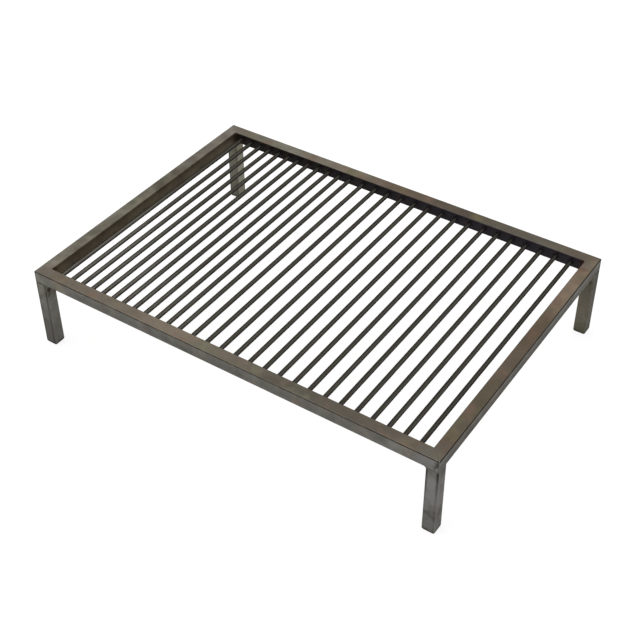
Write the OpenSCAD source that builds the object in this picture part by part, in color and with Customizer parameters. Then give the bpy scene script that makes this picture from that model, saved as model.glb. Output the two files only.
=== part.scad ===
// Free-standing cooking grate of welded mild steel, made to stand over an open fire.
// A mitred frame of square tube on four square-tube legs carries a deck of round rods.
// Origin: centre of the footprint, on the ground. +X runs along the long side, +Y to the rear, +Z up.

/* [Overall size] */
// Length of the frame over its outside faces (X)
frame_l = 700; // [560:5:1000]
// Width of the frame over its outside faces (Y)
frame_w = 500; // [300:5:800]
// Height from the ground to the top of the frame
stand_h = 140; // [80:5:300]

/* [Square tube] */
// Width of the square tube over its outside faces
tube_w = 20; // [16:0.5:30]
// Wall of the square tube
tube_wall = 2; // [1.2:0.1:3]
// Outside corner radius of the square tube
tube_r = 2; // [1:0.1:3]
// Inside corner radius of the square tube
tube_inner_r = 0.5; // [0.2:0.1:1]

/* [Rods] */
// Diameter of the round rods
rod_d = 7; // [5:0.1:9]
// Length of rod hidden past the rail's inner face, at each end
rod_entry = 6; // [4:0.5:9]
// Clearance between rod and drilled hole, on the diameter
rod_fit = 0.3; // [0.1:0.1:0.8]
// From the left rail's inner face to the axis of the first rod
first_rod_gap = 13.5; // [8:0.5:25]
// From the axis of the last rod to the right rail's inner face
last_rod_gap = 21; // [8:0.5:25]
// Spacing of the close rods at the left end, axis to axis
close_pitch = 20; // [15:0.5:24]
// Number of close spacings
close_gaps = 6; // [1:1:8]
// Spacing of the next rods, axis to axis
middle_pitch = 21; // [15:0.5:24]
// Number of middle spacings
middle_gaps = 5; // [1:1:8]
// Number of wide spacings, which share what is left of the frame's length
wide_gaps = 16; // [8:1:19]

/* [Feet] */
// Thickness of the plate that closes the bottom of each leg
foot_plate_t = 2; // [1:0.5:5]
// Set-back of the plate's edge from the leg's outside faces
foot_plate_inset = 1; // [0.5:0.1:2]

/* [Welds] */
// Width of the weld that fills each mitre
mitre_gap = 1; // [0.5:0.1:2]
// Thickness of the weld between the top of a leg and the rails
leg_gap = 1; // [0.5:0.1:2]
// Leg length of the fillet bead on the two inner faces of each leg
leg_fillet = 2.5; // [1:0.1:4]
// Leg length of the fillet bead under each rod end
rod_fillet = 2; // [1:0.1:3]
// Set-back of the foot plate's weld from the leg's outside faces
foot_weld_inset = 0.3; // [0.1:0.1:0.4]
// Height of bare plate edge below the foot plate's weld
foot_weld_lift = 0.6; // [0.2:0.1:0.9]

/* [Hidden] */
$fn = 48;

half_l = frame_l / 2;
half_w = frame_w / 2;
rail_z = stand_h - tube_w;              // underside of the frame
tube_bore = tube_w - 2 * tube_wall;     // width of the hollow inside the tube
inner_x = half_l - tube_w;              // inner faces of the left and right rails
inner_y = half_w - tube_w;              // inner faces of the front and rear rails
mitre_shift = mitre_gap * sqrt(2) / 2;  // set-back of each mitre cut, along its rail

rod_r = rod_d / 2;
rod_z = rail_z + tube_w / 2;            // the rods enter at the middle of the rails' inner walls
hole_r = rod_r + rod_fit / 2;
hole_overrun = 2 * tube_inner_r;        // the drill runs on past the wall's inside corner radius
rod_count = close_gaps + middle_gaps + wide_gaps + 1;
first_rod_x = first_rod_gap - inner_x;
wide_run = 2 * inner_x - first_rod_gap - last_rod_gap - close_gaps * close_pitch - middle_gaps * middle_pitch;
wide_pitch = wide_run / wide_gaps;

leg_top = rail_z - leg_gap;
leg_x = half_l - tube_w / 2;
leg_y = half_w - tube_w / 2;
groove_fill = 0.6 * tube_r;             // the leg weld fills this much of the groove under a rail's rounded edge
foot_weld_w = tube_w - 2 * foot_weld_inset;

// The four corners: name, side along X, side along Y
CORNERS = [["front_left", -1, -1], ["front_right", 1, -1], ["rear_left", -1, 1], ["rear_right", 1, 1]];

function corner_node(corner, piece) = str(corner[0], "_", piece);
function rod_node(i) = str("rod_", i < 10 ? "0" : "", i);

// Distance from the first rod to rod i, which steps up from the close to the middle to the wide spacing
function rod_run(i) =
    min(i - 1, close_gaps) * close_pitch
    + max(0, min(i - 1 - close_gaps, middle_gaps)) * middle_pitch
    + max(0, i - 1 - close_gaps - middle_gaps) * wide_pitch;
function rod_x(i) = first_rod_x + rod_run(i);

// A centred square with round corners
module rounded_square(w, r) {
    square([w, w - 2 * r], center = true);
    square([w - 2 * r, w], center = true);
    for (sx = [-1, 1], sy = [-1, 1])
        translate([sx * (w / 2 - r), sy * (w / 2 - r)]) circle(r);
}

// The cross-section of the square tube, solid or with its hollow
module tube_section(hollow) {
    difference() {
        rounded_square(tube_w, tube_r);
        if (hollow) rounded_square(tube_bore, tube_inner_r);
    }
}

// Square tube lying along X, with its outer face on y = 0 and its underside on z = 0
module lying_tube(length, hollow) {
    translate([-length / 2, tube_w / 2, tube_w / 2])
        rotate([90, 0, 90]) linear_extrude(length) tube_section(hollow);
}

// Plan of a mitred rail: a trapezium whose two outer corners are ground round
module mitred_plan(length, shift) {
    outer = length / 2 - shift;
    inner = outer - tube_w;
    intersection() {
        polygon([[-outer, 0], [outer, 0], [inner, tube_w], [-inner, tube_w]]);
        union() {
            translate([tube_r - length / 2, 0]) square([length - 2 * tube_r, tube_w]);
            translate([-length / 2, tube_r]) square([length, tube_w]);
            for (side = [-1, 1]) translate([side * (length / 2 - tube_r), tube_r]) circle(tube_r);
        }
    }
}

// A rail with both ends cut at 45 degrees
module mitred_rail(length, hollow = true, shift = mitre_shift) {
    intersection() {
        lying_tube(length, hollow);
        linear_extrude(tube_w) mitred_plan(length, shift);
    }
}

// Places a rail on one side of the frame: 0 front, 90 right, 180 rear, 270 left
module on_side(turn, reach) {
    rotate([0, 0, turn]) translate([0, -reach, rail_z]) children();
}

// Places a corner piece, drawn with the corner's outer edge at the origin and the frame at +X and +Y
module at_corner(corner) {
    mirror([corner[1] > 0 ? 1 : 0, 0, 0])
        mirror([0, corner[2] > 0 ? 1 : 0, 0])
            translate([-half_l, -half_w, 0]) children();
}

// Places a leg piece, drawn about the leg's own axis
module at_leg(corner) {
    translate([corner[1] * leg_x, corner[2] * leg_y, 0]) children();
}

// The drilled row of rod holes through a rail's inner wall: side is -1 for the front, 1 for the rear
module rod_holes(side) {
    depth = tube_wall + 2 * hole_overrun;
    for (i = [1:rod_count])
        translate([rod_x(i), side * (inner_y + tube_wall / 2), rod_z])
            rotate([90, 0, 0]) cylinder(h = depth, r = hole_r, center = true);
}

module front_rail() {
    color("#7d7668") difference() {
        on_side(0, half_w) mitred_rail(frame_l);
        rod_holes(-1);
    }
}

module rear_rail() {
    color("#7a766a") difference() {
        on_side(180, half_w) mitred_rail(frame_l);
        rod_holes(1);
    }
}

module left_rail() {
    color("#7c776b") on_side(270, half_l) mitred_rail(frame_w);
}

module right_rail() {
    color("#72685a") on_side(90, half_l) mitred_rail(frame_w);
}

module leg(corner) {
    color("#6b6a64") at_leg(corner)
        translate([0, 0, foot_plate_t]) linear_extrude(leg_top - foot_plate_t) tube_section(true);
}

module foot_plate(corner) {
    color("#4a4844") at_leg(corner)
        linear_extrude(foot_plate_t) rounded_square(tube_w - 2 * foot_plate_inset, tube_r);
}

module rod(i) {
    color("#4f4e4a") translate([rod_x(i), 0, rod_z])
        rotate([90, 0, 0]) cylinder(h = 2 * (inner_y + rod_entry), r = rod_r, center = true);
}

// Half of a mitre weld: the strip of the front rail's wall between its cut end and the mitre plane
module half_mitre_weld() {
    intersection() {
        translate([frame_l / 2, 0, 0]) lying_tube(frame_l, true);
        linear_extrude(tube_w) intersection() {
            polygon([[0, 0], [mitre_shift, 0], [tube_w + mitre_shift, tube_w], [tube_w, tube_w]]);
            union() {
                translate([tube_r, 0]) square([tube_w, tube_w]);
                translate([0, tube_r]) square([tube_w + mitre_shift, tube_w]);
                translate([tube_r, tube_r]) circle(tube_r);
            }
        }
    }
}

module mitre_weld(corner) {
    color("#5b5750") at_corner(corner) translate([0, 0, rail_z]) {
        half_mitre_weld();
        mirror([1, -1, 0]) half_mitre_weld();
    }
}

// A quarter-round bead along Y, in the corner under a flat face at z = 0 and beside a flat face at x = 0
module quarter_bead(length, r) {
    rotate([90, 0, 0]) linear_extrude(length, center = true)
        intersection() {
            circle(r);
            translate([0, -r]) square(r);
        }
}

// The butt weld round the top of a leg, with a fillet bead on each of its two inner faces
module leg_weld(corner) {
    bead_l = tube_w - 2 * tube_r;
    color("#55514a") at_corner(corner) {
        difference() {
            translate([tube_w / 2, tube_w / 2, leg_top]) linear_extrude(leg_gap + groove_fill) tube_section(true);
            translate([frame_l / 2, 0, rail_z]) mitred_rail(frame_l, false, 0);
            translate([0, frame_w / 2, rail_z]) rotate([0, 0, -90]) mitred_rail(frame_w, false, 0);
        }
        for (turn = [0, 1]) mirror([turn, -turn, 0])
            translate([tube_w, tube_w / 2, rail_z]) quarter_bead(bead_l, leg_fillet);
    }
}

module foot_plate_welds() {
    color("#3f3d3a") for (corner = CORNERS) at_leg(corner)
        translate([0, 0, foot_weld_lift]) linear_extrude(foot_plate_t - foot_weld_lift)
            difference() {
                rounded_square(foot_weld_w, tube_r);
                rounded_square(tube_w - 2 * foot_plate_inset, tube_r);
            }
}

// Fillet beads round the lower half of every rod, on the front rail's inner face
module rod_weld_row() {
    for (i = [1:rod_count])
        translate([rod_x(i), -inner_y, rod_z])
            rotate([-90, 0, 0]) rotate_extrude(angle = 180)
                translate([rod_r, 0]) intersection() {
                    circle(rod_fillet);
                    square(rod_fillet);
                }
}

module front_rod_welds() {
    color("#4d4942") rod_weld_row();
}

module rear_rod_welds() {
    color("#4d4942") mirror([0, 1, 0]) rod_weld_row();
}

front_rail();
rear_rail();
left_rail();
right_rail();
for (corner = CORNERS) {
    leg(corner);
    foot_plate(corner);
    mitre_weld(corner);
    leg_weld(corner);
}
for (i = [1:rod_count])
    rod(i);
foot_plate_welds();
front_rod_welds();
rear_rod_welds();
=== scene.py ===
"""Visual model of a campfire cooking grate: a mitred tube frame on four legs, with 28 round rods."""

import logging
import math
from dataclasses import dataclass, field
from enum import Enum

import bmesh
import bpy
from mathutils import Matrix, Vector, noise


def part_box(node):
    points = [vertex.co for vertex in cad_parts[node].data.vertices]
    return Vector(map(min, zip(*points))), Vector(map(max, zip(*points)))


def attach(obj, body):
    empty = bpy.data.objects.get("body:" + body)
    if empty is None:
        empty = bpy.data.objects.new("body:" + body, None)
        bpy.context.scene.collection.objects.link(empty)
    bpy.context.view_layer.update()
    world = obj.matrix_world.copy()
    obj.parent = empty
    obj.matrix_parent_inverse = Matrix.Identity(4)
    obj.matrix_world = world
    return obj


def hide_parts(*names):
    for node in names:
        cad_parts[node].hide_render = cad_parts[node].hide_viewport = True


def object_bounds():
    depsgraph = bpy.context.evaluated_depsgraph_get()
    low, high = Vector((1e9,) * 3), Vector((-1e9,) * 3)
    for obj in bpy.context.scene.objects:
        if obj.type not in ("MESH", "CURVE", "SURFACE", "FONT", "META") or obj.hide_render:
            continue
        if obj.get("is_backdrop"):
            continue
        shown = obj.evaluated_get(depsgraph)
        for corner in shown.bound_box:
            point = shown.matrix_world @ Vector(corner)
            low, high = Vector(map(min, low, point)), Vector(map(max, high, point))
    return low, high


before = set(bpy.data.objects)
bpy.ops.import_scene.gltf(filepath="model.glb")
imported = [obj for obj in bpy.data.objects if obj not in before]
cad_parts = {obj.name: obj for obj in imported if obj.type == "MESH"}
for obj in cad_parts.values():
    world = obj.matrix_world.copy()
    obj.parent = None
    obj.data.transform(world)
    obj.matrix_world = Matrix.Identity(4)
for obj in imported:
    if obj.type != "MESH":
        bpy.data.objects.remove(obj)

MM = 0.001
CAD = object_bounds()
HALF_LENGTH = CAD[1].x
HALF_WIDTH = CAD[1].y
TOP = CAD[1].z
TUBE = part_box("front_rail")[1].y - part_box("front_rail")[0].y
LEG_X = HALF_LENGTH - TUBE / 2
LEG_Y = HALF_WIDTH - TUBE / 2
GOLDEN_TURN = 2.399  # radians from one bar's bow to the next
LOG = logging.getLogger("grate")
Socket = bpy.types.NodeSocket
Feed = float | tuple | Socket
Tone = tuple[float, float, float]
Outputs = bpy.types.bpy_prop_collection
GREY: Tone = (0.08, 0.08, 0.08)
VECTOR = "NodeSocketVector"
FLOAT = "NodeSocketFloat"


def shade(red: int, green: int, blue: int, gain: float = 0.53) -> Tone:
    """A display colour as linear light, a little under its own strength because the studio is bright.

    Args:
        red: Red, from 0 to 255.
        green: Green, from 0 to 255.
        blue: Blue, from 0 to 255.
        gain: Factor on the linear light.

    Returns:
        The three linear values.
    """
    linear = []
    for part in (red, green, blue):
        value = part / 255.0
        low = value / 12.92
        high = ((value + 0.055) / 1.055) ** 2.4
        linear.append(gain * (low if value <= 0.04045 else high))
    return linear[0], linear[1], linear[2]


class Corner(Enum):
    """The four corners of the frame, with the side of each axis that they are on."""

    FRONT_LEFT = ("front_left", -1, -1)
    FRONT_RIGHT = ("front_right", 1, -1)
    REAR_LEFT = ("rear_left", -1, 1)
    REAR_RIGHT = ("rear_right", 1, 1)

    @property
    def label(self) -> str:
        """Name of the corner, as the nodes have it."""
        return self.value[0]

    @property
    def side(self) -> tuple[int, int]:
        """Signs of the corner's x and y."""
        return self.value[1], self.value[2]


class Run(Enum):
    """The way a tube was drawn, as how much the grain is squeezed along x, y and z."""

    ALONG_X = (0.012, 1.0, 1.0)
    ALONG_Y = (1.0, 0.012, 1.0)
    ALONG_Z = (1.0, 1.0, 0.02)


class Slot(Enum):
    """Material slots of the record, passed with new pieces."""

    ROD = "rod_steel"
    WELD = "weld_metal"


class Graph:
    """Places and joins the nodes of one shader tree."""

    def __init__(self, tree: bpy.types.NodeTree) -> None:
        """Starts with an empty tree."""
        self.tree = tree
        tree.nodes.clear()

    def node(self, kind: str, **settings: object) -> bpy.types.Node:
        """Adds a node.

        Args:
            kind: The node's type name.
            settings: Properties to set on it.

        Returns:
            The new node.
        """
        made = self.tree.nodes.new(kind)
        for name, value in settings.items():
            setattr(made, name, value)
        return made

    def feed(self, target: Socket, source: Feed) -> None:
        """Joins a socket to a target, or sets the target's own value.

        Args:
            target: The input socket.
            source: A socket, a number or a tuple.
        """
        if isinstance(source, bpy.types.NodeSocket):
            self.tree.links.new(source, target)
        elif isinstance(source, tuple) and target.type == "RGBA":
            target.default_value = (*source[:3], 1.0)
        else:
            target.default_value = source

    def math(self, operation: str, first: Feed, second: Feed = 0.0, clamp: bool = False) -> Socket:
        """Does arithmetic on one or two values.

        Args:
            operation: The Math node's operation.
            first: First value.
            second: Second value.
            clamp: Keeps the result between 0 and 1.

        Returns:
            The result's socket.
        """
        made = self.node("ShaderNodeMath", operation=operation, use_clamp=clamp)
        self.feed(made.inputs[0], first)
        if len(made.inputs) > 1:
            self.feed(made.inputs[1], second)
        return made.outputs[0]

    def plus(self, first: Feed, second: Feed) -> Socket:
        """The sum of two values."""
        return self.math("ADD", first, second)

    def minus(self, first: Feed, second: Feed) -> Socket:
        """The first value less the second."""
        return self.math("SUBTRACT", first, second)

    def times(self, first: Feed, second: Feed, clamp: bool = False) -> Socket:
        """The product of two values, kept between 0 and 1 if clamped."""
        return self.math("MULTIPLY", first, second, clamp)

    def raised(self, base: Feed, mask: Feed, share: Feed) -> Socket:
        """A base value plus a share of a mask."""
        return self.plus(base, self.times(mask, share))

    def size(self, value: Feed) -> Socket:
        """A value without its sign."""
        return self.math("ABSOLUTE", value)

    def gap(self, first: Feed, second: Feed) -> Socket:
        """How far apart two values are."""
        return self.size(self.minus(first, second))

    def vector(self, operation: str, first: Feed, second: Feed) -> Socket:
        """Does arithmetic on two vectors, part by part.

        Args:
            operation: The Vector Math node's operation.
            first: First vector.
            second: Second vector.

        Returns:
            The result's socket.
        """
        made = self.node("ShaderNodeVectorMath", operation=operation)
        self.feed(made.inputs[0], first)
        self.feed(made.inputs[1], second)
        return made.outputs[0]

    def parts(self, vector: Feed) -> tuple[Socket, Socket, Socket]:
        """Splits a vector.

        Args:
            vector: The vector.

        Returns:
            Sockets of x, y and z.
        """
        made = self.node("ShaderNodeSeparateXYZ")
        self.feed(made.inputs[0], vector)
        return made.outputs[0], made.outputs[1], made.outputs[2]

    def noise(self, vector: Feed, scale: Feed, detail: float = 3.0, rough: float = 0.5) -> Socket:
        """Adds smooth noise.

        Args:
            vector: Where it is read.
            scale: How many features fit in a metre.
            detail: Number of finer layers.
            rough: How strong the finer layers are.

        Returns:
            Socket of a value about 0.5.
        """
        made = self.node("ShaderNodeTexNoise")
        self.feed(made.inputs["Vector"], vector)
        self.feed(made.inputs["Scale"], scale)
        self.feed(made.inputs["Detail"], detail)
        self.feed(made.inputs["Roughness"], rough)
        return made.outputs["Fac"]

    def ease(self, value: Feed, start: Feed, end: Feed) -> Socket:
        """Turns a value into a mask that goes smoothly from 0 at start to 1 at end.

        Args:
            value: The value.
            start: Where the mask is 0.
            end: Where the mask is 1.

        Returns:
            The mask's socket.
        """
        made = self.node("ShaderNodeMapRange", interpolation_type="SMOOTHSTEP")
        self.feed(made.inputs["Value"], value)
        self.feed(made.inputs["From Min"], start)
        self.feed(made.inputs["From Max"], end)
        return made.outputs[0]

    def mix(self, factor: Feed, first: Feed, second: Feed, way: str = "MIX") -> Socket:
        """Mixes two colours.

        Args:
            factor: Share of the second colour.
            first: First colour.
            second: Second colour.
            way: The Mix node's blend type.

        Returns:
            Socket of the mixed colour.
        """
        made = self.node("ShaderNodeMix", data_type="RGBA", blend_type=way)
        self.feed(made.inputs[0], factor)
        self.feed(made.inputs[6], first)
        self.feed(made.inputs[7], second)
        return made.outputs[2]

    def stain(self, colour: Feed, mask: Feed, share: Feed, tone: Feed) -> Socket:
        """Lays a tone over a colour, by a share of a mask."""
        return self.mix(self.times(mask, share), colour, tone)

    def toned(self, colour: Feed, factor: Feed) -> Socket:
        """Makes a colour lighter or darker.

        Args:
            colour: The colour.
            factor: What its three parts are multiplied by.

        Returns:
            Socket of the new colour.
        """
        grey = self.node("ShaderNodeCombineXYZ")
        for part in grey.inputs:
            self.feed(part, factor)
        return self.mix(1.0, colour, grey.outputs[0], "MULTIPLY")

    def blend(self, factor: Feed, first: Socket, second: Socket) -> Socket:
        """Blends two shaders.

        Args:
            factor: Share of the second shader.
            first: First shader.
            second: Second shader.

        Returns:
            Socket of the blended shader.
        """
        made = self.node("ShaderNodeMixShader")
        for socket, source in zip(made.inputs, (factor, first, second)):
            self.feed(socket, source)
        return made.outputs[0]

    def output(self, kind: str, shader: Socket) -> None:
        """Ends the tree in its Material or World output."""
        out = self.node(f"ShaderNodeOutput{kind}")
        self.feed(out.inputs["Surface"], shader)

    def ramp(self, value: Feed, stops: tuple[tuple[float, Tone], ...]) -> Socket:
        """Looks a colour up between stops.

        Args:
            value: Where to look.
            stops: Place and colour of each stop, in order.

        Returns:
            Socket of the colour.
        """
        made = self.node("ShaderNodeValToRGB")
        ramp = made.color_ramp
        ramp.interpolation = "EASE"
        ramp.elements[0].position = stops[0][0]
        ramp.elements[0].color = (*stops[0][1], 1.0)
        ramp.elements[1].position = stops[-1][0]
        ramp.elements[1].color = (*stops[-1][1], 1.0)
        for place, tone in stops[1:-1]:
            ramp.elements.new(place).color = (*tone, 1.0)
        self.feed(made.inputs[0], value)
        return made.outputs[0]


class Group:
    """A shader node group that several finishes share. It is built once, when it is first placed."""

    title = "Group"
    takes: tuple[tuple[str, str], ...] = ()
    gives: tuple[tuple[str, str], ...] = ()

    def inside(self, graph: Graph, given: dict[str, Socket]) -> dict[str, Socket]:
        """Builds the nodes between the sockets of the inputs and those of the outputs, both by name."""
        raise NotImplementedError

    def tree(self) -> bpy.types.NodeTree:
        """The group's tree, built the first time.

        Returns:
            The node tree.
        """
        known = bpy.data.node_groups.get(self.title)
        if known:
            return known
        tree = bpy.data.node_groups.new(self.title, "ShaderNodeTree")
        graph = Graph(tree)
        for name, kind in self.takes:
            tree.interface.new_socket(name, in_out="INPUT", socket_type=kind)
        for name, kind in self.gives:
            tree.interface.new_socket(name, in_out="OUTPUT", socket_type=kind)
        entry = graph.node("NodeGroupInput")
        leave = graph.node("NodeGroupOutput")
        made = self.inside(graph, {name: entry.outputs[name] for name, _ in self.takes})
        for name, socket in made.items():
            graph.feed(leave.inputs[name], socket)
        return tree

    def place(self, graph: Graph, **values: Feed) -> Outputs:
        """Puts the group in a material.

        Args:
            graph: The material's tree.
            values: What feeds each input, with spaces in its name as underscores.

        Returns:
            The placed group's outputs.
        """
        made = graph.node("ShaderNodeGroup", node_tree=self.tree())
        for name, value in values.items():
            graph.feed(made.inputs[name.replace("_", " ")], value)
        return made.outputs


class Patches(Group):
    """Soft patches of three kinds, such as the stains that oil and storage leave on bare steel."""

    title = "Soft patches"
    takes = (("Place", VECTOR), ("Per Metre", FLOAT), ("Share", FLOAT))
    gives = (("First", FLOAT), ("Second", FLOAT), ("Third", FLOAT))

    def inside(self, graph: Graph, given: dict[str, Socket]) -> dict[str, Socket]:
        """Three noises, far from one another, cut to masks.

        Args:
            graph: The group's own tree.
            given: Sockets of its inputs by name.

        Returns:
            Sockets for its outputs by name.
        """
        low = graph.minus(0.68, graph.times(given["Share"], 0.3))
        high = graph.plus(low, 0.16)
        made = {}
        for step, (name, _) in enumerate(self.gives):
            there = graph.vector("ADD", given["Place"], (3.1 * step, 1.7 * step, 0.9 * step))
            value = graph.noise(there, given["Per Metre"], 2.5, 0.55)
            made[name] = graph.ease(value, low, high)
        return made


class DrawnGrain(Group):
    """Fine lines along a drawn tube or bar, with the soft cloudiness of mill scale between them."""

    title = "Drawn grain"
    takes = (("Place", VECTOR), ("Squeeze", VECTOR))
    gives = (("Lines", FLOAT), ("Cloud", FLOAT), ("Height", FLOAT))

    def inside(self, graph: Graph, given: dict[str, Socket]) -> dict[str, Socket]:
        """Stretched noise for the lines and plain noise for the cloud.

        Args:
            graph: The group's own tree.
            given: Sockets of its inputs by name.

        Returns:
            Sockets for its outputs by name.
        """
        along = graph.vector("MULTIPLY", given["Place"], given["Squeeze"])
        lines = graph.noise(along, 900.0, 3.0, 0.6)
        broad = graph.noise(along, 240.0, 2.0, 0.5)
        cloud = graph.noise(given["Place"], 170.0, 4.0, 0.6)
        sand = graph.noise(given["Place"], 1400.0, 2.0, 0.5)
        both = graph.plus(graph.times(lines, 0.5), graph.times(broad, 0.5))
        height = graph.plus(graph.times(both, 0.6), graph.times(sand, 0.4))
        return {"Lines": both, "Cloud": cloud, "Height": height}


class Pits(Group):
    """Small dark pits and weld spatter, in loose clusters."""

    title = "Pits"
    takes = (("Place", VECTOR), ("Per Metre", FLOAT), ("Share", FLOAT))
    gives = (("Spots", FLOAT),)

    def inside(self, graph: Graph, given: dict[str, Socket]) -> dict[str, Socket]:
        """Cell centres, let through only where a slow noise is high.

        Args:
            graph: The group's own tree.
            given: Sockets of its inputs by name.

        Returns:
            Sockets for its outputs by name.
        """
        cells = graph.node("ShaderNodeTexVoronoi", feature="F1")
        graph.feed(cells.inputs["Vector"], given["Place"])
        graph.feed(cells.inputs["Scale"], given["Per Metre"])
        spot = graph.ease(cells.outputs["Distance"], 0.26, 0.12)
        gate = graph.noise(given["Place"], 38.0, 1.0)
        limit = graph.minus(0.75, graph.times(given["Share"], 0.4))
        gate = graph.ease(gate, limit, graph.plus(limit, 0.06))
        return {"Spots": graph.times(spot, gate)}


class WeldHeat(Group):
    """Temper colours round a weld: burnt next to it, then blue grey, brown and straw."""

    title = "Weld heat"
    takes = (("Place", VECTOR), ("Distance", FLOAT), ("Reach", FLOAT))
    gives = (("Burnt", FLOAT), ("Blue", FLOAT), ("Brown", FLOAT), ("Straw", FLOAT))

    def inside(self, graph: Graph, given: dict[str, Socket]) -> dict[str, Socket]:
        """The distance, made uneven by noise, as a share of the reach, cut into four bands.

        Args:
            graph: The group's own tree.
            given: Sockets of its inputs by name.

        Returns:
            Sockets for its outputs by name.
        """
        wave = graph.minus(graph.noise(given["Place"], 70.0, 3.0), 0.5)
        share = graph.math("DIVIDE", given["Distance"], given["Reach"])
        share = graph.raised(share, wave, 0.9)
        made = {"Burnt": graph.ease(share, 0.24, 0.1)}
        for name, middle in (("Blue", 0.34), ("Brown", 0.6), ("Straw", 0.85)):
            away = graph.gap(share, middle)
            made[name] = graph.ease(away, 0.24, 0.0)
        return made


class Faces(Group):
    """Which way a face of the frame looks: up, in to the rods, out, or round an edge between two faces."""

    title = "Faces"
    takes = (("Place", VECTOR), ("Normal", VECTOR))
    gives = (("Top", FLOAT), ("Inner", FLOAT), ("Outer", FLOAT), ("Edge", FLOAT))

    def inside(self, graph: Graph, given: dict[str, Socket]) -> dict[str, Socket]:
        """Masks from the normal, and from whether it leaves or nears the middle of the frame.

        Args:
            graph: The group's own tree.
            given: Sockets of its inputs by name.

        Returns:
            Sockets for its outputs by name.
        """
        x, y, z = graph.parts(given["Normal"])
        px, py, _ = graph.parts(given["Place"])
        outward = graph.plus(graph.times(x, px), graph.times(y, py))
        widest = graph.math("MAXIMUM", graph.size(x), graph.size(y))
        widest = graph.math("MAXIMUM", widest, graph.size(z))
        return {
            "Top": graph.ease(z, 0.5, 0.85),
            "Inner": graph.ease(outward, -0.05, -0.17),
            "Outer": graph.ease(outward, 0.05, 0.17),
            "Edge": graph.ease(widest, 0.97, 0.82),
        }


PATCHES = Patches()
GRAIN = DrawnGrain()
PITS = Pits()
HEAT = WeldHeat()
FACES = Faces()


@dataclass(frozen=True)
class Finish:
    """A steel surface: a Principled shader and what every finish feeds it."""

    name: str
    metallic: float = 0.75
    glance: float = 0.4
    relief: float = 0.25
    relief_depth: float = 0.05 * MM

    def surface(self, graph: Graph, place: Socket, normal: Socket) -> tuple[Socket, Socket, Socket]:
        """Builds what varies over the surface: its colour, roughness and height."""
        raise NotImplementedError

    def material(self) -> bpy.types.Material:
        """The finish as a material, made the first time.

        Returns:
            The material.
        """
        known = bpy.data.materials.get(self.name)
        if known:
            return known
        made = bpy.data.materials.new(self.name)
        made.use_nodes = True
        graph = Graph(made.node_tree)
        where = graph.node("ShaderNodeTexCoord")
        colour, rough, height = self.surface(graph, where.outputs["Object"], where.outputs["Normal"])
        shader = graph.node("ShaderNodeBsdfPrincipled")
        shader.inputs["Metallic"].default_value = self.metallic
        shader.inputs["Specular IOR Level"].default_value = 0.3
        shader.inputs["Specular Tint"].default_value = (self.glance, self.glance, self.glance, 1.0)
        bump = graph.node("ShaderNodeBump")
        bump.inputs["Strength"].default_value = self.relief
        bump.inputs["Distance"].default_value = self.relief_depth
        graph.feed(bump.inputs["Height"], height)
        graph.feed(shader.inputs["Normal"], bump.outputs[0])
        graph.feed(shader.inputs["Base Color"], colour)
        graph.feed(shader.inputs["Roughness"], rough)
        graph.output("Material", shader.outputs[0])
        return made

    def dress(self, piece: bpy.types.Object) -> None:
        """Puts the finish on a piece, in place of what it had.

        Args:
            piece: The mesh object.
        """
        if not piece.material_slots:
            piece.data.materials.append(None)
        for held in piece.material_slots:
            held.material = self.material()


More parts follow.
